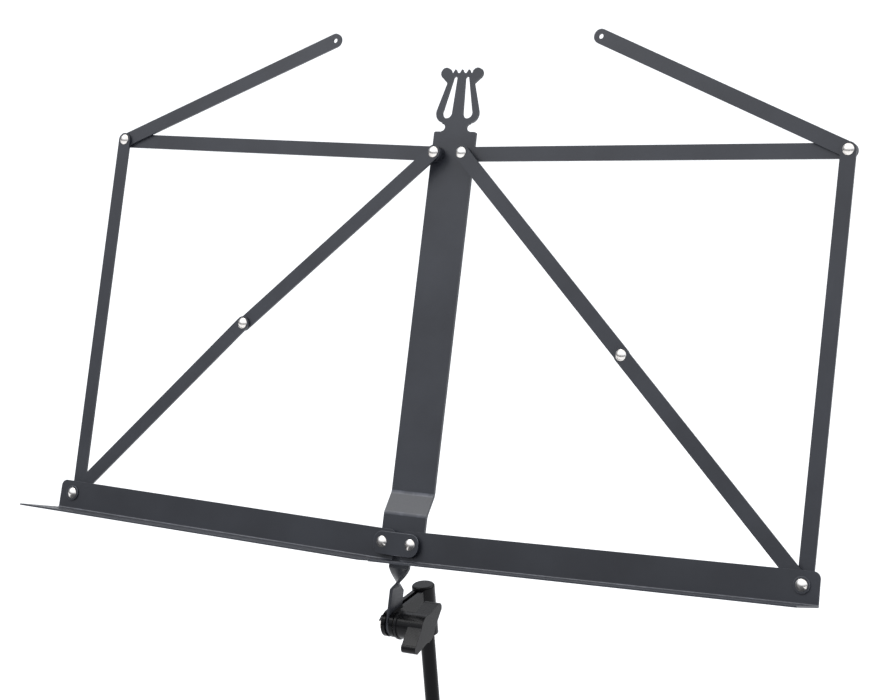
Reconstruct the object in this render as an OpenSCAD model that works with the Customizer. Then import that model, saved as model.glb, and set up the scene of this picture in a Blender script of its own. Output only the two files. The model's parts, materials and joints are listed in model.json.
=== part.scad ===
// Folding orchestra music stand, in millimetres, standing on z = 0.
// The desk is drawn flat in its own frame (x right, y away from the player, z up along the
// centre plate, origin midway between the two bottom rivets) and then leaned back on the mast.

/* [Desk] */
// Height between the bottom and the top rivet lines, and length of the folding links
desk_h = 235; // [225:1:240]
// Half distance between the two centre pivots
pivot_x = 9.5; // [9.4:0.1:11]
// Angle by which the ledge halves rise towards their outer ends
rise = 1.33; // [0:0.01:3]
// How far the desk leans back from upright
tilt = 22.75; // [0:0.25:40]
// Width of the flat straps
strap_w = 8.9; // [7:0.1:9.5]
// Thickness of the flat straps
strap_t = 1.4; // [1:0.1:1.5]
// Bow of the left knee away from the straight line
bow_left = 4.8; // [0:0.1:6]
// Bow of the right knee away from the straight line
bow_right = 0; // [0:0.1:6]
// Length of the page arms between their holes
arm_len = 167; // [120:1:170]
// Angle of the page arms above the horizontal
arm_angle = 23; // [0:1:90]

/* [Ledge] */
// Height of the ledge wall above the rivet line
wall_up = 7.9; // [7:0.1:8.5]
// Depth of the ledge below the rivet line
wall_down = 11.1; // [10.5:0.1:13]
// How far the shelf reaches towards the player
shelf_d = 38; // [25:1:45]
// Sheet thickness of the ledge
sheet_t = 1; // [0.8:0.1:1.2]

/* [Centre plate] */
// Width of the centre plate
plate_w = 28.6; // [26:0.1:30]
// Thickness of the centre plate
plate_t = 2; // [1.5:0.1:2]
// Width of the twisted tail
tail_w = 13.5; // [12:0.5:14]
// Depth of the tilt bolt below the bottom rivet line
bolt_drop = 46.8; // [44:0.1:50]

/* [Mast] */
// Outer radius of the top tube
top_r = 4.5; // [4:0.1:4.6]
// Outer radius of the middle tube
mid_r = 6.25; // [6.1:0.05:6.4]
// Outer radius of the lower tube
low_r = 8; // [7.8:0.1:8.2]
// Height of the top of the lower tube
low_top = 470; // [430:5:480]
// How far the middle tube is drawn out
mid_out = 220; // [150:5:300]
// How far the top tube is drawn out
top_out = 230; // [150:5:280]

/* [Tripod] */
// Angle of an open leg from the vertical
leg_angle = 62; // [60:0.5:63]
// Length of a leg from its pivot to its foot
leg_len = 328; // [322:1:334]
// Distance from a leg's pivot to its strut
leg_a = 156; // [152:1:158]
// Length of a strut between its holes
strut_len = 164.5; // [162:0.5:168]

/* [Hidden] */
$fn = 48;

STEEL = [0.15, 0.16, 0.19];
NICKEL = [0.8, 0.8, 0.78];
PLASTIC = [0.07, 0.07, 0.08];
RUBBER = [0.1, 0.1, 0.1];

// Fits and gaps
run_gap = 0.05;      // radial running clearance
face_gap = 0.15;     // gap between faces that turn on each other
tip_gap = 0.3;       // gap between a thumb screw's tip and its tube

// Layers of the desk, front face of each piece
layer = 1.7;
lower_y = layer;
upper_y = 2 * layer;
side_y = 3 * layer;
arm_y = 4 * layer;
top_y = 5 * layer;
plate_y = 6 * layer;
foot_y = 4;

// Rivets
rivet_r = 1.5;
dome_r = 3.25;
dome_h = 1.6;
tail_r = 2.7;
tail_h = 0.7;
washer_r = 4.7;
washer_t = 0.8;
spacer_r = 4.4;

// Cover link
link_w = 30;
link_h = 13.6;
link_t = 1.5;
link_y = -3.2;
link_corner = 5.5;
link_drop = 0.5;      // how far the link's middle is below its rivets

// Centre plate heights
joggle_low = 17.5;
joggle_high = 30;
foot_low = -8;
twist_top = -14;
twist_low = -27;
shoulder_z = 249.1;
tail_y = foot_y + plate_t / 2;

// Linkage points of one half, as [x, z] on the right-hand side
link_dir = [cos(rise), sin(rise)];
cb = [pivot_x, 0];
ct = [pivot_x, desk_h];
ob = cb + desk_h * link_dir;
ot = ct + desk_h * link_dir;
diag = ob - ct;
diag_len = norm(diag);
outward = [-diag[1], diag[0]] / diag_len;
function knee(bow) = (ob + ct) / 2 + outward * bow;
function heading(from, to) = atan2(to[1] - from[1], to[0] - from[0]);

// Tilt joint, with the bolt as the origin and the mast behind it
ear_r = 8;
ear_t = 2.5;
ear_x = 1.3;
ear_out = ear_x + ear_t;
bolt_r = 2.5;
mast_y = 38.3;
sleeve_r = 7;
sleeve_top = 9.6;
sleeve_low = -22;
sleeve_cap = 2;
sleeve_round = 1.6;
web_y = 27;
web_h = 26;
pin_drop = 10;
hex_r = 4.6;
hex_h = 3.5;
bracket_washer_t = 1;
knob_x = ear_out + bracket_washer_t + face_gap;
knob_hub_r = 8;
wing_x = 14.5;
wing_t = 9.5;
wing_r = 16;
wing_tip_r = 3;
wing_turn = 26;
insert_r = 4;

// Mast
wall = 0.8;
mid_len = 400;
top_len = 380;
mid_top = low_top + mid_out;
top_end = mid_top + top_out;
clamp_h = 30;
clamp_below = 16;
clamp_pad = 5;
clamp_wall = 4;
screw_up = 7;        // height of a clamp's screw above the end of the outer tube
boss_r = 6;
bush_len = 12;

// Tripod
tube_pin_r = 25.5;   // distance of the leg pivots from the mast axis
hub_pin_r = 14.2;    // distance of the strut pivots from the mast axis
leg_w = 10;
leg_t = 3;
strut_w = 8;
strut_gap = 0.3;
foot_r = 6.5;
foot_flat = 0.5;      // how much of the foot's round end is flattened by the floor
hub_r = 9.8;
ear_gap = 0.2;
lug_t = 2.5;
foot_reach = tube_pin_r + leg_len * sin(leg_angle);
foot_z = foot_r - foot_flat;
collar_z = foot_z + leg_len * cos(leg_angle);
strut_reach = tube_pin_r - hub_pin_r + leg_a * sin(leg_angle);
strut_rise = sqrt(strut_len * strut_len - strut_reach * strut_reach);
hub_z = collar_z - leg_a * cos(leg_angle) - strut_rise;
strut_angle = atan2(strut_rise, strut_reach);
strut_in = leg_t / 2 + strut_gap;
collar_r = low_r + 4.5;
collar_screw_up = 4;
lug_r = 6;
low_foot = hub_z - 8;
leg_azimuths = [90, 210, 330];
// Puts the middle of the three feet's box on the origin
mast_shift = -foot_reach / 4;

// Desk frame origin in the mast's frame
bolt_z = top_end + sleeve_cap - sleeve_top - 0.5;
desk_y = -mast_y - (tail_y * cos(tilt) - bolt_drop * sin(tilt));
desk_z = bolt_z + tail_y * sin(tilt) + bolt_drop * cos(tilt);

module on_floor() {
    translate([0, mast_shift, 0]) children();
}

module on_desk() {
    on_floor() translate([0, desk_y, desk_z]) rotate([-tilt, 0, 0]) children();
}

module at_bolt() {
    on_floor() translate([0, -mast_y, bolt_z]) children();
}

// A flat outline in x and z, from depth y0 backwards by t
module flat(y0, t) {
    translate([0, y0 + t, 0]) rotate([90, 0, 0]) linear_extrude(t) children();
}

// An outline in y and z, from x0 to the right by t
module sideways(x0, t) {
    translate([x0, 0, 0]) rotate([90, 0, 90]) linear_extrude(t) children();
}

// A round bar along y
module bar_y(p, r, y0, t) {
    translate([p[0], y0 + t, p[1]]) rotate([90, 0, 0]) cylinder(r = r, h = t);
}

// A round ring along y
module ring_y(p, r, bore, y0, t) {
    difference() {
        bar_y(p, r, y0, t);
        bar_y(p, bore, y0 - 1, t + 2);
    }
}

// The domed head of a rivet, its flat face at depth y0
module dome(p, y0) {
    ball = (dome_r * dome_r + dome_h * dome_h) / (2 * dome_h);
    translate([p[0], y0, p[1]]) rotate([90, 0, 0]) intersection() {
        translate([0, 0, dome_h - ball]) sphere(ball);
        cylinder(r = dome_r, h = dome_h);
    }
}

// A rivet from its dome's seat to its tail's seat
module rivet(p, y0, y1) {
    dome(p, y0);
    bar_y(p, rivet_r, y0, y1 - y0);
    bar_y(p, tail_r, y1, tail_h);
}

// A strap from p towards the angle a, with a hole at each end
module strap(p, a, len, y0, hole_a = rivet_r + run_gap, hole_b = rivet_r + run_gap) {
    flat(y0, strap_t) translate(p) rotate(a) difference() {
        union() {
            translate([0, -strap_w / 2]) square([len, strap_w]);
            circle(d = strap_w);
            translate([len, 0]) circle(d = strap_w);
        }
        circle(r = hole_a);
        translate([len, 0]) circle(r = hole_b);
    }
}

// ---- centre plate ----

module lyre_slot() {
    low = [6.95, 260.7];
    high = [4.05, 281.7];
    low_wide = 3.4;
    high_wide = 1.5;
    translate(low) circle(low_wide);
    translate(high) circle(high_wide);
    polygon([low - [low_wide, 0], high - [high_wide, 0], high + [high_wide, 0], low + [low_wide, 0]]);
}

module lyre_half() {
    bowl = [8.3, 260.5];
    bowl_r = 6.1;
    notch_z = 251.7;
    notch_r = 2.2;
    ball = [10.7, 285.1];
    ball_r = 3.5;
    difference() {
        union() {
            translate([0, shoulder_z - 1]) square([9.4, 6.4]);
            translate([0, bowl[1] - bowl_r]) square([bowl[0], bowl_r]);
            translate(bowl) circle(bowl_r);
            polygon([[0, 259], [14.35, 261.6], [9.1, 278.9], [9.1, 285.3], [0, 285.3]]);
            translate(ball) circle(ball_r);
            polygon([[9.1, 278.9], [12.8, 282.4], ball, [8, 285.1]]);
            polygon([[3.2, 285.2], [4.6, 287.6], [6, 285.2]]);
            polygon([[0, 285.2], [0, 287.6], [1.4, 285.2]]);
        }
        translate([9.4, notch_z]) circle(notch_r);
        lyre_slot();
    }
}

module centre_plate() {
    corner = 1.2;
    color(STEEL) on_desk() {
        difference() {
            union() {
                flat(plate_y, plate_t) {
                    translate([-plate_w / 2, joggle_high])
                        square([plate_w, shoulder_z - corner - joggle_high]);
                    translate([corner - plate_w / 2, joggle_high])
                        square([plate_w - 2 * corner, shoulder_z - joggle_high]);
                    for (s = [-1, 1])
                        translate([s * (plate_w / 2 - corner), shoulder_z - corner]) circle(corner);
                    lyre_half();
                    mirror([1, 0]) lyre_half();
                }
                sideways(-plate_w / 2, plate_w) polygon([[foot_y, foot_low], [foot_y + plate_t, foot_low],
                    [foot_y + plate_t, joggle_low], [plate_y + plate_t, joggle_high],
                    [plate_y, joggle_high], [foot_y, joggle_low]]);
                flat(foot_y, plate_t)
                    translate([-tail_w / 2, twist_top]) square([tail_w, foot_low - twist_top]);
                translate([0, tail_y, twist_low])
                    linear_extrude(twist_top - twist_low, twist = -90, slices = 12)
                        square([plate_t, tail_w], center = true);
                sideways(-plate_t / 2, plate_t) {
                    translate([tail_y - tail_w / 2, -bolt_drop]) square([tail_w, bolt_drop + twist_low]);
                    translate([tail_y, -bolt_drop]) circle(d = tail_w);
                }
            }
            for (s = [-1, 1]) {
                bar_y([s * pivot_x, 0], rivet_r, 0, 20);
                bar_y([s * pivot_x, desk_h], rivet_r, 0, 20);
            }
            translate([-10, tail_y, -bolt_drop]) rotate([0, 90, 0])
                cylinder(r = bolt_r + run_gap, h = 20);
        }
    }
}

module cover_link() {
    color(STEEL) on_desk() flat(link_y, link_t) difference() {
        translate([0, -link_drop]) {
            square([link_w - 2 * link_corner, link_h], center = true);
            square([link_w, link_h - 2 * link_corner], center = true);
            for (s = [-1, 1], u = [-1, 1])
                translate([s * (link_w / 2 - link_corner), u * (link_h / 2 - link_corner)])
                    circle(link_corner);
        }
        for (s = [-1, 1]) translate([s * pivot_x, 0]) circle(rivet_r);
    }
}

module bottom_rivets() {
    color(NICKEL) on_desk() for (s = [-1, 1]) rivet([s * pivot_x, 0], link_y, foot_y + plate_t);
}

module bottom_spacers() {
    front = link_y + link_t;
    color(STEEL) on_desk() for (s = [-1, 1]) {
        ring_y([s * pivot_x, 0], spacer_r, rivet_r, front, -front - face_gap);
        ring_y([s * pivot_x, 0], spacer_r, rivet_r, sheet_t + face_gap, foot_y - sheet_t - face_gap);
    }
}

module top_rivets() {
    color(NICKEL) on_desk()
        for (s = [-1, 1]) rivet([s * pivot_x, desk_h], upper_y - face_gap, plate_y + plate_t);
}

module top_spacers() {
    back = upper_y + strap_t + face_gap;
    color(STEEL) on_desk() for (s = [-1, 1])
        ring_y([s * pivot_x, desk_h], spacer_r, rivet_r, back, top_y - face_gap - back);
}

// ---- one half of the desk, drawn on the right ----

module half(side) {
    color(side[1]) on_desk() {
        if (side[0] < 0) mirror([1, 0, 0]) children();
        else children();
    }
}

module ledge() {
    nose = pivot_x - 0.5;      // rounds the inner corner so that the halves pass each other
    inner = 2.6 - pivot_x;     // inner end, left of the pivot
    outer = desk_h + 9.8;
    corner = 4;
    difference() {
        translate([pivot_x, 0, 0]) rotate([0, -rise, 0]) {
            flat(0, sheet_t) intersection() {
                union() {
                    translate([0, -wall_down]) square([outer - corner, wall_down + wall_up]);
                    translate([0, -wall_down]) square([outer, wall_down + wall_up - corner]);
                    translate([outer - corner, wall_up - corner]) circle(corner);
                    translate([inner, -wall_down]) square([-inner, wall_down]);
                    circle(nose);
                }
                translate([-nose, -wall_down]) square([outer + nose, wall_down + wall_up]);
            }
            translate([inner, -shelf_d, -wall_down]) cube([outer - inner, shelf_d + sheet_t, sheet_t]);
        }
        bar_y(cb, rivet_r + run_gap, -1, 4);
        bar_y(ob, rivet_r, -1, 4);
    }
}

module side_strap() {
    strap(ob, 90, desk_h, side_y);
}

module top_strap() {
    strap(ct, rise, desk_h, top_y, hole_b = rivet_r);
}

module page_arm() {
    strap(ot, 180 - arm_angle, arm_len, arm_y);
}

module corner_rivet() {
    rivet(ob, -washer_t, side_y + strap_t + face_gap);
}

module corner_washers() {
    gap_y = lower_y + strap_t + face_gap;
    ring_y(ob, washer_r, rivet_r, -washer_t, washer_t);
    ring_y(ob, spacer_r, rivet_r, gap_y, side_y - face_gap - gap_y);
}

module shoulder_rivet() {
    rivet(ot, side_y - face_gap, top_y + strap_t);
}

module lower_diagonal(bow) {
    k = knee(bow);
    strap(ob, heading(ob, k), norm(k - ob), lower_y, hole_b = rivet_r);
}

module upper_diagonal(bow) {
    k = knee(bow);
    strap(ct, heading(ct, k), norm(k - ct), upper_y, hole_b = rivet_r);
}

module knee_rivet(bow) {
    dome(knee(bow), lower_y);
    bar_y(knee(bow), rivet_r, lower_y, strap_t);
}

module knee_tail(bow) {
    bar_y(knee(bow), rivet_r, upper_y, strap_t);
}

// ---- tilt joint ----

module ear_outline() {
    circle(ear_r);
    polygon([[0, ear_r], [mast_y, sleeve_top - sleeve_round - 0.3], [mast_y, sleeve_low], [0, -ear_r]]);
}

// The sleeve over the top tube, with its upper rim rounded
module sleeve() {
    tall = sleeve_top - sleeve_low;
    rotate_extrude() {
        square([sleeve_r, tall - sleeve_round]);
        square([sleeve_r - sleeve_round, tall]);
        translate([sleeve_r - sleeve_round, tall - sleeve_round]) circle(sleeve_round);
    }
}

module tilt_bracket() {
    color(PLASTIC) at_bolt() difference() {
        union() {
            for (x = [-ear_out, ear_x]) sideways(x, ear_t) ear_outline();
            translate([-ear_out, web_y, sleeve_low]) cube([2 * ear_out, mast_y - web_y, web_h]);
            translate([0, mast_y, sleeve_low]) sleeve();
        }
        translate([0, mast_y, sleeve_low - 1])
            cylinder(r = top_r, h = sleeve_top - sleeve_low + 1 - sleeve_cap);
        rotate([0, 90, 0]) cylinder(r = bolt_r, h = 4 * ear_out, center = true);
        translate([0, mast_y, -pin_drop]) rotate([0, 90, 0])
            cylinder(r = rivet_r, h = 4 * sleeve_r, center = true);
    }
}

module tilt_bolt() {
    color(NICKEL) at_bolt() rotate([0, 90, 0]) {
        translate([0, 0, -ear_out - hex_h]) cylinder(r = hex_r, h = hex_h, $fn = 6);
        translate([0, 0, -ear_out]) cylinder(r = bolt_r, h = ear_out + wing_x + 6);
    }
}

module tilt_washer() {
    color(NICKEL) at_bolt() rotate([0, 90, 0]) difference() {
        translate([0, 0, ear_out]) cylinder(r = 6.5, h = bracket_washer_t);
        cylinder(r = bolt_r, h = 40);
    }
}

module bracket_pin() {
    color(NICKEL) at_bolt() translate([0, mast_y, -pin_drop]) rotate([0, 90, 0])
        cylinder(r = rivet_r, h = 2 * sleeve_r + 0.6, center = true);
}

module wing_outline() {
    root = knob_hub_r - 0.3;
    circle(knob_hub_r + 0.3);
    for (s = [0, 180]) rotate(s) {
        translate([wing_r, 0]) circle(wing_tip_r);
        polygon([[0, -root], [wing_r, -wing_tip_r], [wing_r, wing_tip_r], [0, root]]);
    }
}

module wing_knob() {
    color(PLASTIC) at_bolt() difference() {
        union() {
            rotate([0, 90, 0]) {
                translate([0, 0, knob_x]) cylinder(r = knob_hub_r, h = wing_x - knob_x);
                translate([0, 0, knob_x]) cylinder(r = knob_hub_r + 0.8, h = 1.5);
            }
            sideways(wing_x, wing_t) rotate(wing_turn) wing_outline();
        }
        rotate([0, 90, 0]) cylinder(r = insert_r, h = wing_x + 6.5);
    }
}

module knob_insert() {
    color(NICKEL) at_bolt() rotate([0, 90, 0]) difference() {
        translate([0, 0, knob_x]) cylinder(r = insert_r, h = wing_x + 2 - knob_x);
        cylinder(r = bolt_r + run_gap, h = 40);
    }
}

// ---- mast ----

module tube(r, z0, z1) {
    difference() {
        translate([0, 0, z0]) cylinder(r = r, h = z1 - z0);
        translate([0, 0, z0 - 1]) cylinder(r = r - wall, h = z1 - z0 + 2);
    }
}

// A guide bush pressed over a tube's lower end
module bush(r_out, r_in, z0) {
    difference() {
        translate([0, 0, z0]) cylinder(r = r_out, h = bush_len);
        translate([0, 0, z0 - 1]) cylinder(r = r_in, h = bush_len + 2);
    }
}

// A clamp that holds the outer tube below z and guides the inner tube above it
module clamp(outer, inner, z) {
    body_r = outer + clamp_wall;
    difference() {
        union() {
            translate([0, 0, z - clamp_below]) cylinder(r = body_r, h = clamp_h);
            translate([0, 0, z + screw_up]) rotate([0, 90, 0]) cylinder(r = boss_r, h = body_r + clamp_pad);
        }
        translate([0, 0, z - clamp_below - 1]) cylinder(r = outer, h = clamp_below + 1);
        translate([0, 0, z - 1]) cylinder(r = inner + run_gap, h = clamp_h);
        translate([0, 0, z + screw_up]) rotate([0, 90, 0])
            cylinder(r = bolt_r + run_gap, h = 2 * body_r + clamp_pad);
    }
}

// A thumb screw along +x, its tip at radius tip and its head outside radius seat
module thumb_screw(tip, seat) {
    head_h = 8;
    wing_span = 24;
    wing_w = 5;
    rotate([0, 90, 0]) {
        translate([0, 0, tip]) cylinder(r = bolt_r, h = seat - tip);
        translate([0, 0, seat]) cylinder(r = boss_r - 0.5, h = head_h);
        translate([0, 0, seat + 3]) linear_extrude(head_h - 1) {
            square([wing_span, wing_w], center = true);
            for (s = [-1, 1]) translate([wing_span / 2 * s, 0]) circle(wing_w / 2);
        }
    }
}

module top_tube() {
    color(STEEL) on_floor() difference() {
        tube(top_r, top_end - top_len, top_end - 1);
        translate([0, 0, bolt_z - pin_drop]) rotate([0, 90, 0])
            cylinder(r = rivet_r, h = 4 * top_r, center = true);
    }
}

module top_tube_bush() {
    color(PLASTIC) on_floor() bush(mid_r - wall - run_gap, top_r, top_end - top_len);
}

module upper_clamp() {
    color(PLASTIC) on_floor() clamp(mid_r, top_r, mid_top);
}

module upper_clamp_screw() {
    color(PLASTIC) on_floor() translate([0, 0, mid_top + screw_up])
        thumb_screw(top_r + tip_gap, mid_r + clamp_wall + clamp_pad + 1);
}

module middle_tube() {
    color(STEEL) on_floor() tube(mid_r, mid_top - mid_len, mid_top);
}

module middle_tube_bush() {
    color(PLASTIC) on_floor() bush(low_r - wall - run_gap, mid_r, mid_top - mid_len);
}

module lower_clamp() {
    color(PLASTIC) on_floor() clamp(low_r, mid_r, low_top);
}

module lower_clamp_screw() {
    color(PLASTIC) on_floor() translate([0, 0, low_top + screw_up])
        thumb_screw(mid_r + tip_gap, low_r + clamp_wall + clamp_pad + 1);
}

module lower_tube() {
    color(STEEL) on_floor() tube(low_r, low_foot, low_top);
}

// ---- tripod ----

// Turns a piece drawn in the x-z plane to the leg's direction
module toward(i) {
    on_floor() rotate([0, 0, leg_azimuths[i]]) children();
}

// A bar along the local y axis through a point at radius r and height z
module cross_bar(r, z, bar_r, half_len) {
    translate([r, 0, z]) rotate([90, 0, 0]) cylinder(r = bar_r, h = 2 * half_len, center = true);
}

module leg_collar() {
    color(PLASTIC) on_floor() difference() {
        union() {
            translate([0, 0, collar_z - 12]) cylinder(r = collar_r, h = 26);
            rotate([0, 0, -90]) translate([0, 0, collar_z + collar_screw_up]) rotate([0, 90, 0])
                cylinder(r = boss_r, h = collar_r + clamp_pad);
            for (a = leg_azimuths, s = [-1, 1]) rotate([0, 0, a])
                flat(s > 0 ? leg_t / 2 + ear_gap : -leg_t / 2 - ear_gap - lug_t, lug_t) {
                    translate([low_r + 2, collar_z - lug_r]) square([tube_pin_r - low_r - 2, 2 * lug_r]);
                    translate([tube_pin_r, collar_z]) circle(lug_r);
                }
        }
        translate([0, 0, collar_z - 13]) cylinder(r = low_r + run_gap, h = 28);
        rotate([0, 0, -90]) translate([0, 0, collar_z + collar_screw_up]) rotate([0, 90, 0])
            cylinder(r = bolt_r + run_gap, h = 2 * collar_r + clamp_pad);
        for (a = leg_azimuths) rotate([0, 0, a]) cross_bar(tube_pin_r, collar_z, rivet_r, 20);
    }
}

module base_hub() {
    color(PLASTIC) on_floor() difference() {
        union() {
            translate([0, 0, low_foot - 3]) cylinder(r = hub_r, h = 26);
            for (a = leg_azimuths) rotate([0, 0, a]) flat(-leg_t / 2, leg_t) {
                translate([hub_r - 1, hub_z - 4]) square([hub_pin_r - hub_r + 1, 8]);
                translate([hub_pin_r, hub_z]) circle(4);
            }
        }
        translate([0, 0, low_foot]) cylinder(r = low_r, h = 40);
        for (a = leg_azimuths) rotate([0, 0, a]) cross_bar(hub_pin_r, hub_z, rivet_r, 20);
    }
}

// A pin with a flat head at each end, through the local point at radius r and height z
module cross_rivet(r, z, half_len) {
    cross_bar(r, z, rivet_r, half_len);
    for (s = [-1, 1]) translate([r, s * (half_len + tail_h / 2), z]) rotate([90, 0, 0])
        cylinder(r = tail_r, h = tail_h, center = true);
}

module hub_rivets() {
    color(NICKEL) on_floor() for (a = leg_azimuths) rotate([0, 0, a])
        cross_rivet(hub_pin_r, hub_z, strut_in + strap_t + face_gap);
}

module collar_rivets() {
    color(NICKEL) on_floor() for (a = leg_azimuths) rotate([0, 0, a])
        cross_rivet(tube_pin_r, collar_z, leg_t / 2 + ear_gap + lug_t);
}

module collar_screw() {
    color(PLASTIC) on_floor() rotate([0, 0, -90]) translate([0, 0, collar_z + collar_screw_up])
        thumb_screw(low_r + tip_gap, collar_r + clamp_pad + 1);
}

module leg(i) {
    color(STEEL) toward(i) flat(-leg_t / 2, leg_t) translate([tube_pin_r, collar_z])
        rotate(leg_angle - 90) difference() {
            union() {
                circle(d = leg_w);
                translate([0, -leg_w / 2]) square([leg_len, leg_w]);
            }
            circle(r = rivet_r + run_gap);
        }
}

module foot(i) {
    sock = 24;
    color(RUBBER) toward(i) difference() {
        translate([foot_reach, 0, foot_z]) rotate([0, -leg_angle, 0]) rotate_extrude()
            intersection() {
                union() {
                    circle(foot_r);
                    translate([-foot_r, 0]) square([2 * foot_r, sock]);
                }
                translate([0, -foot_r]) square([foot_r, foot_r + sock]);
            }
        flat(-leg_t / 2, leg_t) translate([tube_pin_r, collar_z]) rotate(leg_angle - 90)
            translate([0, -leg_w / 2]) square([leg_len, leg_w]);
        translate([foot_reach - 2 * foot_r, -foot_r, -foot_r]) cube([4 * foot_r, 2 * foot_r, foot_r]);
    }
}

module strut(i) {
    color(STEEL) toward(i) for (y = [strut_in, -strut_in - strap_t])
        flat(y, strap_t) translate([hub_pin_r, hub_z]) rotate(strut_angle) difference() {
            union() {
                circle(d = strut_w);
                translate([0, -strut_w / 2]) square([strut_len, strut_w]);
                translate([strut_len, 0]) circle(d = strut_w);
            }
            circle(r = rivet_r + run_gap);
            translate([strut_len, 0]) circle(r = rivet_r);
        }
}

module strut_rivets(i) {
    c = [hub_pin_r, hub_z] + strut_len * [cos(strut_angle), sin(strut_angle)];
    outside = strut_in + strap_t;
    color(NICKEL) toward(i) for (s = [0, 1]) mirror([0, s, 0]) {
        dome(c, -outside);
        bar_y(c, rivet_r, -outside, strap_t);
    }
}

LEFT = [-1, STEEL];
RIGHT = [1, STEEL];
LEFT_NICKEL = [-1, NICKEL];
RIGHT_NICKEL = [1, NICKEL];

centre_plate();
cover_link();
bottom_rivets();
bottom_spacers();
top_rivets();
top_spacers();
half(LEFT) ledge();  // ledge_left
half(LEFT_NICKEL) corner_rivet();  // corner_rivet_left
half(LEFT) corner_washers();  // corner_washers_left
half(LEFT) side_strap();  // side_strap_left
half(LEFT) top_strap();  // top_strap_left
half(LEFT_NICKEL) shoulder_rivet();  // shoulder_rivet_left
half(LEFT) page_arm();  // page_arm_left
half(LEFT) lower_diagonal(bow_left);  // lower_diagonal_left
half(LEFT_NICKEL) knee_rivet(bow_left);  // knee_rivet_left
half(LEFT) upper_diagonal(bow_left);  // upper_diagonal_left
half(LEFT_NICKEL) knee_tail(bow_left);  // knee_tail_left
half(RIGHT) ledge();  // ledge_right
half(RIGHT_NICKEL) corner_rivet();  // corner_rivet_right
half(RIGHT) corner_washers();  // corner_washers_right
half(RIGHT) side_strap();  // side_strap_right
half(RIGHT) top_strap();  // top_strap_right
half(RIGHT_NICKEL) shoulder_rivet();  // shoulder_rivet_right
half(RIGHT) page_arm();  // page_arm_right
half(RIGHT) lower_diagonal(bow_right);  // lower_diagonal_right
half(RIGHT_NICKEL) knee_rivet(bow_right);  // knee_rivet_right
half(RIGHT) upper_diagonal(bow_right);  // upper_diagonal_right
half(RIGHT_NICKEL) knee_tail(bow_right);  // knee_tail_right
tilt_bracket();
tilt_bolt();
tilt_washer();
bracket_pin();
wing_knob();
knob_insert();
top_tube();
top_tube_bush();
upper_clamp();
upper_clamp_screw();
middle_tube();
middle_tube_bush();
lower_clamp();
lower_clamp_screw();
lower_tube();
base_hub();
hub_rivets();
leg_collar();
collar_rivets();
collar_screw();
leg(0);  // leg_1
leg(1);  // leg_2
leg(2);  // leg_3
foot(0);  // foot_1
foot(1);  // foot_2
foot(2);  // foot_3
strut(0);  // strut_1
strut(1);  // strut_2
strut(2);  // strut_3
strut_rivets(0);  // strut_rivets_1
strut_rivets(1);  // strut_rivets_2
strut_rivets(2);  // strut_rivets_3
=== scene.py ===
"""Folding orchestra music stand: the finished pieces, their materials, the floor, light and camera."""
import json
import math

import bmesh
import bpy
from mathutils import Matrix, Vector


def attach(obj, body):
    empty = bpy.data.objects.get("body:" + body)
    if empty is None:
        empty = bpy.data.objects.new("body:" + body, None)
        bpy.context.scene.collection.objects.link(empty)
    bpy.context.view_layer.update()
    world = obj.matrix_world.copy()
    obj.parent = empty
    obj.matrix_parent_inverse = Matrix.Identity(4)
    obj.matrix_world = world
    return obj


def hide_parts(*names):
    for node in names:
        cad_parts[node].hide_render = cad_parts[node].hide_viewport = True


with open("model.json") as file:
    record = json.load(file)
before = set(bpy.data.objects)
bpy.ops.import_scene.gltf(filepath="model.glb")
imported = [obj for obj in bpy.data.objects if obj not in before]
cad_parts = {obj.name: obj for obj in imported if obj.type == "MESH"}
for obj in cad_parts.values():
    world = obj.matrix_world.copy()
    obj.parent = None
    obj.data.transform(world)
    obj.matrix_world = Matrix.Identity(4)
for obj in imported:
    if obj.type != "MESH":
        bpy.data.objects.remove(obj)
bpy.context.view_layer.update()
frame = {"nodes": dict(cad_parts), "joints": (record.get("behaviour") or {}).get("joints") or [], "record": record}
MM = 0.001

NODES = frame["nodes"]
BODY_OF = {n: b for b, names in frame["record"]["behaviour"]["bodies"].items() for n in names}
SLOT_OF = {s["node"]: s["material_slot"] for s in frame["record"]["subparts"]}
JOINTS = {j["name"]: j for j in frame["joints"]}

# ---------------------------------------------------------------------------
# The desk's own frame: origin between the two bottom rivets, z up the plate
# ---------------------------------------------------------------------------
left_pivot = Vector(JOINTS["fold_left"]["pos_m"])
right_pivot = Vector(JOINTS["fold_right"]["pos_m"])
DESK_ORIGIN = (left_pivot + right_pivot) / 2
DESK_Y = Vector(JOINTS["fold_left"]["axis"]).normalized()
DESK_X = Vector((1, 0, 0))
DESK_Z = DESK_X.cross(DESK_Y)
DESK = Matrix((
    (DESK_X.x, DESK_Y.x, DESK_Z.x, DESK_ORIGIN.x),
    (DESK_X.y, DESK_Y.y, DESK_Z.y, DESK_ORIGIN.y),
    (DESK_X.z, DESK_Y.z, DESK_Z.z, DESK_ORIGIN.z),
    (0, 0, 0, 1),
))

# ---------------------------------------------------------------------------
# Shader groups: effects that several materials share
# ---------------------------------------------------------------------------


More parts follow.
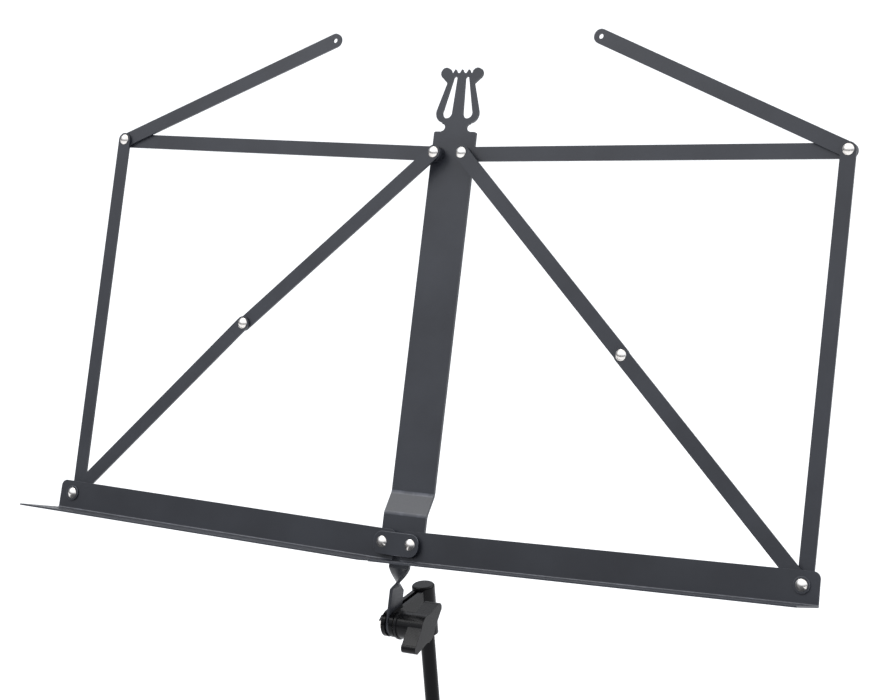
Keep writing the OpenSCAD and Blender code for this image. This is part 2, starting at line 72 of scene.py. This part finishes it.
class Nodes:
    """Small helper for adding and linking nodes in one tree."""

    def __init__(self, tree):
        self.tree = tree

    def add(self, kind, **values):
        node = self.tree.nodes.new(kind)
        for name, value in values.items():
            setattr(node, name, value)
        return node

    def put(self, node, socket, value):
        """Sets a socket to a value, or links it if the value is another node's output."""
        target = node.inputs[socket]
        if isinstance(value, bpy.types.NodeSocket):
            self.tree.links.new(value, target)
        else:
            target.default_value = value

    def math(self, operation, a, b=0.0, clamp=False):
        node = self.add("ShaderNodeMath", operation=operation, use_clamp=clamp)
        self.put(node, 0, a)
        self.put(node, 1, b)
        return node.outputs[0]

    def noise(self, vector, scale, detail=3.0, roughness=0.55):
        node = self.add("ShaderNodeTexNoise")
        self.put(node, "Vector", vector)
        self.put(node, "Scale", scale)
        self.put(node, "Detail", detail)
        self.put(node, "Roughness", roughness)
        return node.outputs["Fac"]

    def ramp(self, value, low, high):
        """Maps low..high to 0..1."""
        node = self.add("ShaderNodeMapRange")
        self.put(node, "Value", value)
        self.put(node, "From Min", low)
        self.put(node, "From Max", high)
        return node.outputs["Result"]

    def mix(self, factor, a, b):
        node = self.add("ShaderNodeMix", data_type="RGBA")
        self.put(node, 0, factor)
        self.put(node, 6, a)
        self.put(node, 7, b)
        return node.outputs[2]


def new_group(name, inputs, outputs):
    tree = bpy.data.node_groups.new(name, "ShaderNodeTree")
    for label, kind, default in inputs:
        socket = tree.interface.new_socket(label, in_out="INPUT", socket_type=kind)
        socket.default_value = default
    for label, kind in outputs:
        tree.interface.new_socket(label, in_out="OUTPUT", socket_type=kind)
    nodes = Nodes(tree)
    return tree, nodes, nodes.add("NodeGroupInput").outputs, nodes.add("NodeGroupOutput")


def coating_group():
    """Fine orange peel of a sprayed or moulded surface, with faint clouds in its tone."""
    tree, n, given, out = new_group(
        "coating_grain",
        [("Peel Scale", "NodeSocketFloat", 900.0), ("Cloud Scale", "NodeSocketFloat", 18.0)],
        [("Height", "NodeSocketFloat"), ("Clouds", "NodeSocketFloat")])
    where = n.add("ShaderNodeTexCoord").outputs["Object"]
    peel = n.noise(where, given["Peel Scale"], detail=2.0)
    grit = n.noise(where, n.math("MULTIPLY", given["Peel Scale"], 3.1), detail=1.0)
    height = n.math("ADD", n.math("MULTIPLY", peel, 0.7), n.math("MULTIPLY", grit, 0.3))
    n.put(out, "Height", height)
    n.put(out, "Clouds", n.noise(where, given["Cloud Scale"], detail=4.0))
    return tree


def edge_sheen_and_wear_group():
    """The mask of every rounded edge, which carries a painted highlight; how much an edge is rubbed, broken up by
    noise; and where dust has settled on top.
    """
    tree, n, given, out = new_group(
        "edge_sheen_and_wear",
        [("Amount", "NodeSocketFloat", 0.5), ("Patch Scale", "NodeSocketFloat", 120.0)],
        [("Edge Sheen", "NodeSocketFloat"), ("Rubbed", "NodeSocketFloat"), ("Dust", "NodeSocketFloat")])
    # Rounded-edge mask: it carries the painted edge highlight and, broken up by noise, the rubbed wear.
    edge = n.add("ShaderNodeAttribute", attribute_name="edge").outputs["Fac"]
    where = n.add("ShaderNodeTexCoord").outputs["Object"]
    patch = n.ramp(n.noise(where, given["Patch Scale"], detail=5.0), 0.48, 0.66)
    normal = n.add("ShaderNodeNewGeometry").outputs["Normal"]
    parts = n.add("ShaderNodeSeparateXYZ")
    n.put(parts, 0, normal)
    upward = n.ramp(parts.outputs["Z"], 0.55, 1.0)
    specks = n.ramp(n.noise(where, 260.0, detail=6.0), 0.5, 0.72)
    n.put(out, "Edge Sheen", edge)
    n.put(out, "Rubbed", n.math("MULTIPLY", n.math("MULTIPLY", edge, patch), given["Amount"], clamp=True))
    n.put(out, "Dust", n.math("MULTIPLY", upward, specks))
    return tree


def scratch_group():
    """Hair-fine scratches that run mainly along one object axis."""
    tree, n, given, out = new_group(
        "hair_scratches",
        [("Stretch", "NodeSocketVector", (60.0, 900.0, 900.0))],
        [("Lines", "NodeSocketFloat")])
    where = n.add("ShaderNodeTexCoord").outputs["Object"]
    scale = n.add("ShaderNodeVectorMath", operation="MULTIPLY")
    n.put(scale, 0, where)
    n.put(scale, 1, given["Stretch"])
    n.put(out, "Lines", n.ramp(n.noise(scale.outputs[0], 1.0, detail=3.0), 0.35, 0.7))
    return tree


COATING = coating_group()
EDGE_SHEEN_AND_WEAR = edge_sheen_and_wear_group()
SCRATCHES = scratch_group()


DUST_TONE = (0.22, 0.21, 0.20, 1)
EDGE_SHEEN_SHARE = 0.45   # how far every rounded edge goes towards its lighter tone: a painted highlight
RUBBED_GAIN = 1.9   # how much lighter than the edge a rubbed patch is
DUST_ROUGH = 0.15   # how much dust dulls the gloss


def use_group(n, tree, **values):
    node = n.add("ShaderNodeGroup", node_tree=tree)
    for label, value in values.items():
        n.put(node, label.replace("_", " "), value)
    return node.outputs


def start_material(name):
    material = bpy.data.materials.new(name)
    material.use_nodes = True
    tree = material.node_tree
    shader = tree.nodes["Principled BSDF"]
    return material, Nodes(tree), shader


def coated(name, base, cloud, edge, dust, rough, peel_scale, peel_depth, wear=0.5, specular=0.5):
    """Sprayed, enamelled or moulded black surface: grain, soft clouds, a painted highlight lightening every
    rounded edge, lighter rubbed patches and dust.
    """
    material, n, shader = start_material(name)
    grain = use_group(n, COATING, Peel_Scale=peel_scale, Cloud_Scale=22.0)
    sheen_and_wear = use_group(n, EDGE_SHEEN_AND_WEAR, Amount=wear, Patch_Scale=150.0)
    colour = n.mix(n.ramp(grain["Clouds"], 0.35, 0.7), (*base, 1), (*cloud, 1))
    # Painted highlight: every rounded edge is lightened part of the way towards the edge tone.
    colour = n.mix(n.math("MULTIPLY", sheen_and_wear["Edge Sheen"], EDGE_SHEEN_SHARE), colour, (*edge, 1))
    colour = n.mix(sheen_and_wear["Rubbed"], colour, (*[min(1, c * RUBBED_GAIN) for c in edge], 1))
    colour = n.mix(n.math("MULTIPLY", sheen_and_wear["Dust"], dust), colour, DUST_TONE)
    n.put(shader, "Base Color", colour)
    low, high = rough
    roughness = n.math("ADD", n.math("MULTIPLY", grain["Clouds"], high - low), low)
    roughness = n.math("ADD", roughness, n.math("MULTIPLY", sheen_and_wear["Dust"], DUST_ROUGH), clamp=True)
    n.put(shader, "Roughness", roughness)
    shader.inputs["Specular IOR Level"].default_value = specular
    bump = n.add("ShaderNodeBump")
    bump.inputs["Strength"].default_value = 0.35
    bump.inputs["Distance"].default_value = peel_depth
    n.put(bump, "Height", grain["Height"])
    n.put(shader, "Normal", bump.outputs["Normal"])
    return material


def polished(name, base, tint, rough, stretch):
    """Plated steel: bright, with hair scratches and slightly warm clouds."""
    material, n, shader = start_material(name)
    lines = use_group(n, SCRATCHES, Stretch=stretch)["Lines"]
    grain = use_group(n, COATING, Peel_Scale=1400.0, Cloud_Scale=160.0)
    n.put(shader, "Base Color", n.mix(n.ramp(grain["Clouds"], 0.35, 0.7), (*base, 1), (*tint, 1)))
    n.put(shader, "Roughness", n.math("ADD", n.math("MULTIPLY", lines, rough[1] - rough[0]), rough[0]))
    shader.inputs["Metallic"].default_value = 1.0
    bump = n.add("ShaderNodeBump")
    bump.inputs["Strength"].default_value = 0.2
    bump.inputs["Distance"].default_value = 0.00001
    n.put(bump, "Height", lines)
    n.put(shader, "Normal", bump.outputs["Normal"])
    return material


# The third colour of each coated finish is its edge tone: a painted highlight on every rounded edge, lighter still
# where rubbed.
MATERIALS = {
    "powder_coat": coated("powder_coat_black", (0.0125, 0.0140, 0.0195), (0.0205, 0.0230, 0.0305),
                          (0.070, 0.074, 0.090), 0.25, (0.36, 0.50), 1500.0, 0.00003, wear=0.35),
    "gloss_enamel": coated("tube_enamel_black", (0.0025, 0.0025, 0.0030), (0.0040, 0.0040, 0.0050),
                           (0.012, 0.012, 0.014), 0.05, (0.10, 0.18), 500.0, 0.00001, wear=0.2,
                           specular=0.10),
    "nickel": polished("nickel_plate", (0.80, 0.78, 0.75), (0.70, 0.66, 0.62), (0.13, 0.30),
                       (900.0, 120.0, 500.0)),
    "gloss_black_plastic": coated("moulded_plastic_gloss",
                                  (0.0025, 0.0025, 0.0030), (0.0045, 0.0045, 0.0055),
                                  (0.016, 0.016, 0.019), 0.04, (0.14, 0.24), 700.0, 0.00002, wear=0.25,
                                  specular=0.12),
    "satin_black_plastic": coated("moulded_plastic_satin",
                                  (0.0035, 0.0035, 0.0040), (0.0065, 0.0065, 0.0075),
                                  (0.022, 0.022, 0.025), 0.06, (0.20, 0.32), 1100.0, 0.00004, wear=0.3,
                                  specular=0.15),
    "rubber": coated("foot_rubber", (0.012, 0.012, 0.012), (0.022, 0.021, 0.020),
                     (0.050, 0.048, 0.045), 0.6, (0.62, 0.80), 600.0, 0.00008, wear=0.3, specular=0.3),
}

# ---------------------------------------------------------------------------
# Mesh work
# ---------------------------------------------------------------------------


def clean_copy(node):
    """The CAD node's shape with its loose triangles joined and flat faces merged."""
    mesh = bmesh.new()
    mesh.from_mesh(NODES[node].data)
    mesh.faces.layers.float.new("edge")
    bmesh.ops.remove_doubles(mesh, verts=mesh.verts, dist=0.002 * MM)
    bmesh.ops.dissolve_degenerate(mesh, edges=mesh.edges, dist=0.001 * MM)
    bmesh.ops.dissolve_limit(mesh, angle_limit=math.radians(0.4), verts=mesh.verts, edges=mesh.edges)
    return mesh


def mark_edges(mesh, faces):
    layer = mesh.faces.layers.float["edge"]
    for face in faces:
        face[layer] = 1.0


def round_edges(mesh, radius, chosen, segments=3):
    """Rounds the chosen edges and marks the new faces, for the painted edge highlight and the wear on them."""
    edges = [e for e in mesh.edges if e.is_manifold and chosen(e)]
    if not edges:
        return
    made = bmesh.ops.bevel(mesh, geom=edges, offset=radius, offset_type="OFFSET", segments=segments,
                           profile=0.5, affect="EDGES", clamp_overlap=True, harden_normals=False)
    mark_edges(mesh, made["faces"])


def corner(low):
    """Chooses outward and inward edges whose faces turn by at least this many degrees."""
    def test(edge):
        return math.degrees(edge.calc_face_angle(0.0)) >= low
    return test


SMOOTH_LIMIT = math.radians(50)


def finish_mesh(name, mesh, node_names, body, slot):
    """Makes the piece from its mesh, with smooth shading that keeps flat faces flat."""
    for face in mesh.faces:
        face.smooth = True
    for edge in mesh.edges:
        edge.smooth = edge.calc_face_angle(0.0) < SMOOTH_LIMIT
    data = bpy.data.meshes.new(name)
    mesh.to_mesh(data)
    mesh.free()
    piece = bpy.data.objects.new(name, data)
    bpy.context.scene.collection.objects.link(piece)
    weighted = piece.modifiers.new("flat_faces", "WEIGHTED_NORMAL")
    weighted.keep_sharp = True
    depsgraph = bpy.context.evaluated_depsgraph_get()
    final = bpy.data.meshes.new_from_object(piece.evaluated_get(depsgraph))
    piece.modifiers.clear()
    piece.data = final
    final.materials.clear()
    final.materials.append(MATERIALS[slot])
    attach(piece, body)
    if node_names:
        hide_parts(*node_names)
    return piece


# Heights that take in the plate's twisted stretch, in the desk's frame
TWIST_TOP, TWIST_FOOT = -13.5 * MM, -27.5 * MM


def outside_twist(edge):
    """Leaves out the plate's twisted stretch, whose short facets would hold the rounding to nothing."""
    heights = [in_desk(v.co).z for v in edge.verts]
    return min(heights) > TWIST_TOP or max(heights) < TWIST_FOOT


def finished(node, radius, segments=3, low=28.0, bends=()):
    """The CAD node with its edges rounded, standing in for it."""
    sharp_enough = corner(low)
    in_reach = ROUNDED_WHERE.get(node, sharp_enough)
    mesh = clean_copy(node)
    for bend_radius, chosen in bends:
        round_edges(mesh, bend_radius, chosen, 4)
    round_edges(mesh, radius, lambda edge: sharp_enough(edge) and in_reach(edge), segments)
    return finish_mesh(node + "_finished", mesh, [node], BODY_OF[node], SLOT_OF[node])


def in_desk(point):
    """A point in the desk's own frame."""
    return DESK.inverted() @ Vector(point)


def desk_bend(height_low, height_high):
    """Chooses the plate's cross bends: shallow edges between two heights in the desk's frame."""
    def test(edge):
        middle = in_desk((edge.verts[0].co + edge.verts[1].co) / 2)
        along = (DESK.inverted().to_3x3() @ (edge.verts[1].co - edge.verts[0].co)).normalized()
        turn = math.degrees(edge.calc_face_angle(0.0))
        return height_low < middle.z < height_high and abs(along.x) > 0.95 and 8 < turn < 40
    return test


def shelf_bend(edge):
    """Chooses the two long edges where the ledge's sheet is folded from wall to shelf."""
    first, second = (in_desk(v.co) for v in edge.verts)
    long_enough = abs(first.x - second.x) > 40 * MM
    near_wall = min(first.y, second.y) > -2 * MM and max(first.z, second.z) < 0
    return long_enough and near_wall and edge.calc_face_angle(0.0) > math.radians(60)


# ---------------------------------------------------------------------------
# Rivets: one turned shape for each length, set at its points by Geometry Nodes
# ---------------------------------------------------------------------------
DOME_R, DOME_H = 3.25 * MM, 1.6 * MM
SHANK_R = 1.5 * MM
TAIL_R, TAIL_H = 2.7 * MM, 0.7 * MM


def turned(profile, steps=48):
    """A closed shape turned about the local y axis; the profile runs from axis to axis as (radius, y)."""
    mesh = bmesh.new()
    rings = []
    for radius, y in profile:
        count = 1 if radius < 1e-9 else steps
        rings.append([mesh.verts.new((radius * math.cos(2 * math.pi * i / count), y,
                                      radius * math.sin(2 * math.pi * i / count))) for i in range(count)])
    for first, second in zip(rings, rings[1:]):
        for i in range(steps):
            a = first[i % len(first)]
            b = first[(i + 1) % len(first)]
            c = second[(i + 1) % len(second)]
            d = second[i % len(second)]
            corners = list(dict.fromkeys((a, b, c, d)))
            mesh.faces.new(corners)
    bmesh.ops.recalc_face_normals(mesh, faces=mesh.faces)
    return mesh


def rivet_profile(length, has_tail):
    """Domed head with its seat at y = 0, a shank, and an upset tail with a rolled edge."""
    ball = (DOME_R ** 2 + DOME_H ** 2) / (2 * DOME_H)
    reach = math.asin((DOME_R - 0.15 * MM) / ball)
    angles = [reach * i / 12 for i in range(13)]
    points = [(ball * math.sin(a), ball - DOME_H - ball * math.cos(a)) for a in angles]
    points += [(DOME_R, -0.12 * MM), (DOME_R - 0.03 * MM, 0.0), (SHANK_R, 0.0), (SHANK_R, length)]
    if has_tail:
        roll = 0.25 * MM
        points += [(TAIL_R - 0.05 * MM, length), (TAIL_R, length + 0.1 * MM)]
        points += [(TAIL_R - roll + roll * math.cos(a), length + TAIL_H - roll + roll * math.sin(a))
                   for a in (0.0, 0.5, 1.0, math.pi / 2)]
    return points + [(0.0, points[-1][1])]


def rivet_tree():
    """Sets a turned rivet at every point of the input, with its finish."""
    tree = bpy.data.node_groups.new("set_rivets", "GeometryNodeTree")
    tree.interface.new_socket("Points", in_out="INPUT", socket_type="NodeSocketGeometry")
    tree.interface.new_socket("Rivet", in_out="INPUT", socket_type="NodeSocketObject")
    tree.interface.new_socket("Finish", in_out="INPUT", socket_type="NodeSocketMaterial")
    tree.interface.new_socket("Rivets", in_out="OUTPUT", socket_type="NodeSocketGeometry")
    given = tree.nodes.new("NodeGroupInput").outputs
    out = tree.nodes.new("NodeGroupOutput")
    points = tree.nodes.new("GeometryNodeMeshToPoints")
    shape = tree.nodes.new("GeometryNodeObjectInfo")
    place = tree.nodes.new("GeometryNodeInstanceOnPoints")
    real = tree.nodes.new("GeometryNodeRealizeInstances")
    finish = tree.nodes.new("GeometryNodeSetMaterial")
    link = tree.links.new
    link(given["Points"], points.inputs["Mesh"])
    link(given["Rivet"], shape.inputs["Object"])
    link(points.outputs["Points"], place.inputs["Points"])
    link(shape.outputs["Geometry"], place.inputs["Instance"])
    link(place.outputs["Instances"], real.inputs["Geometry"])
    link(real.outputs["Geometry"], finish.inputs["Geometry"])
    link(given["Finish"], finish.inputs["Material"])
    link(finish.outputs["Geometry"], out.inputs["Rivets"])
    return tree


RIVET_TREE = rivet_tree()


def set_rivets(node, has_tail=True):
    """Turned rivets where the CAD node has its solids, one on each side of the plate if it has two."""
    local = [in_desk(v.co) for v in NODES[node].data.vertices]
    sides = [[v for v in local if v.x < 0], [v for v in local if v.x >= 0]]
    front = min(v.y for v in local)
    back = max(v.y for v in local)
    length = back - front - DOME_H - (TAIL_H if has_tail else 0.0)
    places = []
    for side in filter(None, sides):
        middle = [(min(v[k] for v in side) + max(v[k] for v in side)) / 2 for k in (0, 2)]
        places.append(DESK @ Vector((middle[0], front + DOME_H, middle[1])))
    shape = turned(rivet_profile(length, has_tail))
    shape.transform(DESK.to_3x3().to_4x4())
    master_mesh = bpy.data.meshes.new(node + "_turned")
    shape.to_mesh(master_mesh)
    shape.free()
    master = bpy.data.objects.new(node + "_turned", master_mesh)
    dots_mesh = bpy.data.meshes.new(node + "_places")
    dots_mesh.from_pydata([tuple(p) for p in places], [], [])
    dots = bpy.data.objects.new(node + "_places", dots_mesh)
    for helper in (master, dots):
        bpy.context.scene.collection.objects.link(helper)
    setter = dots.modifiers.new("set_rivets", "NODES")
    setter.node_group = RIVET_TREE
    ids = {item.name: item.identifier for item in RIVET_TREE.interface.items_tree if item.in_out == "INPUT"}
    setter[ids["Rivet"]] = master
    setter[ids["Finish"]] = MATERIALS[SLOT_OF[node]]
    depsgraph = bpy.context.evaluated_depsgraph_get()
    made = bpy.data.meshes.new_from_object(dots.evaluated_get(depsgraph))
    mesh = bmesh.new()
    mesh.from_mesh(made)
    mesh.faces.layers.float.new("edge")
    for helper in (master, dots):
        bpy.data.objects.remove(helper)
    return finish_mesh(node + "_set", mesh, [node], BODY_OF[node], SLOT_OF[node])


# Edge radii of each kind of piece, in metres
RADII = {
    "powder_coat": 0.28 * MM,
    "gloss_enamel": 0.15 * MM,
    "nickel": 0.12 * MM,
    "gloss_black_plastic": 0.55 * MM,
    "satin_black_plastic": 0.7 * MM,
    "rubber": 0.8 * MM,
}

# Bends and large roundings that some pieces have besides their edges
BENDS = {
    "centre_plate": [(1.1 * MM, desk_bend(10 * MM, 40 * MM))],
    "ledge_left": [(0.75 * MM, shelf_bend)],
    "ledge_right": [(0.75 * MM, shelf_bend)],
}
# Pieces rounded only in part
ROUNDED_WHERE = {"centre_plate": outside_twist}
TAILED_RIVETS = ["bottom_rivets", "top_rivets", "corner_rivet_left", "corner_rivet_right",
                 "shoulder_rivet_left", "shoulder_rivet_right"]
HEADS_ONLY = ["knee_rivet_left", "knee_rivet_right"]

for node in sorted(NODES):
    if node in TAILED_RIVETS + HEADS_ONLY:
        set_rivets(node, node in TAILED_RIVETS)
    else:
        finished(node, RADII[SLOT_OF[node]], bends=BENDS.get(node, ()))

# ---------------------------------------------------------------------------
# Floor, light and camera
# ---------------------------------------------------------------------------


def studio_sky():
    """Soft dome of light: dark towards the horizon, bright and slightly cool overhead."""
    world = bpy.data.worlds.new("studio")
    world.use_nodes = True
    n = Nodes(world.node_tree)
    parts = n.add("ShaderNodeSeparateXYZ")
    n.put(parts, 0, n.add("ShaderNodeTexCoord").outputs["Generated"])
    ramp = n.add("ShaderNodeValToRGB")
    stops = [
        (0.0, 0.18, 0.18, 0.18),
        (0.22, 0.36, 0.37, 0.39),
        (0.50, 1.28, 1.32, 1.40),
        (1.0, 1.55, 1.55, 1.55),
    ]
    while len(ramp.color_ramp.elements) < len(stops):
        ramp.color_ramp.elements.new(0.5)
    for element, (place, *tone) in zip(ramp.color_ramp.elements, stops):
        element.position = place
        element.color = (*tone, 1)
    n.put(ramp, "Fac", parts.outputs["Z"])
    n.put(world.node_tree.nodes["Background"], "Color", ramp.outputs["Color"])
    return world


def studio():
    """Plain pale floor under soft, even light, with two large panels for the highlights."""
    half = 60.0
    mesh = bpy.data.meshes.new("floor")
    corners = [(-half, -half, 0), (half, -half, 0), (half, half, 0), (-half, half, 0)]
    mesh.from_pydata(corners, [], [(0, 1, 2, 3)])
    floor = bpy.data.objects.new("floor", mesh)
    bpy.context.scene.collection.objects.link(floor)
    material, _, shader = start_material("pale_floor")
    shader.inputs["Base Color"].default_value = (0.93, 0.93, 0.93, 1)
    shader.inputs["Roughness"].default_value = 0.9
    mesh.materials.append(material)
    bpy.context.scene.world = studio_sky()
    panels = [
        ("key_panel", (-1.1, -0.7, 3.0), 1.2, 22.0),
        ("rim_panel", (1.6, 1.2, 2.2), 1.4, 16.0),
    ]
    aim = DESK_ORIGIN + Vector((0, 0, 0.1))
    for name, place, size, power in panels:
        light = bpy.data.lights.new(name, "AREA")
        light.shape = "SQUARE"
        light.size = size
        light.energy = power
        lamp = bpy.data.objects.new(name, light)
        lamp.location = place
        lamp.rotation_euler = (aim - Vector(place)).to_track_quat("-Z", "Y").to_euler()
        bpy.context.scene.collection.objects.link(lamp)
    view = bpy.context.scene.view_settings
    view.view_transform = "Standard"
    view.look = "None"


def camera():
    """The viewpoint, given in the desk's frame: in front of the leaning desk and to its right."""
    place = Vector((544.0, -977.2, 25.3)) * MM
    turn, lift, roll = -0.4974, 0.0811, 0.1163
    look = Vector((math.sin(turn) * math.cos(lift), math.cos(turn) * math.cos(lift), math.sin(lift)))
    right = Vector((math.cos(turn), -math.sin(turn), 0))
    up = right.cross(look)
    side = math.cos(roll) * right + math.sin(roll) * up
    top = -math.sin(roll) * right + math.cos(roll) * up
    pose = Matrix((
        (side.x, top.x, -look.x, place.x),
        (side.y, top.y, -look.y, place.y),
        (side.z, top.z, -look.z, place.z),
        (0, 0, 0, 1),
    ))
    lens = bpy.data.cameras.new("camera")
    lens.sensor_fit = "HORIZONTAL"
    lens.sensor_width = 36.0
    lens.lens = 77.3
    lens.clip_end = 200.0
    eye = bpy.data.objects.new("camera", lens)
    eye.matrix_world = DESK @ pose
    bpy.context.scene.collection.objects.link(eye)
    bpy.context.scene.camera = eye


studio()
camera()
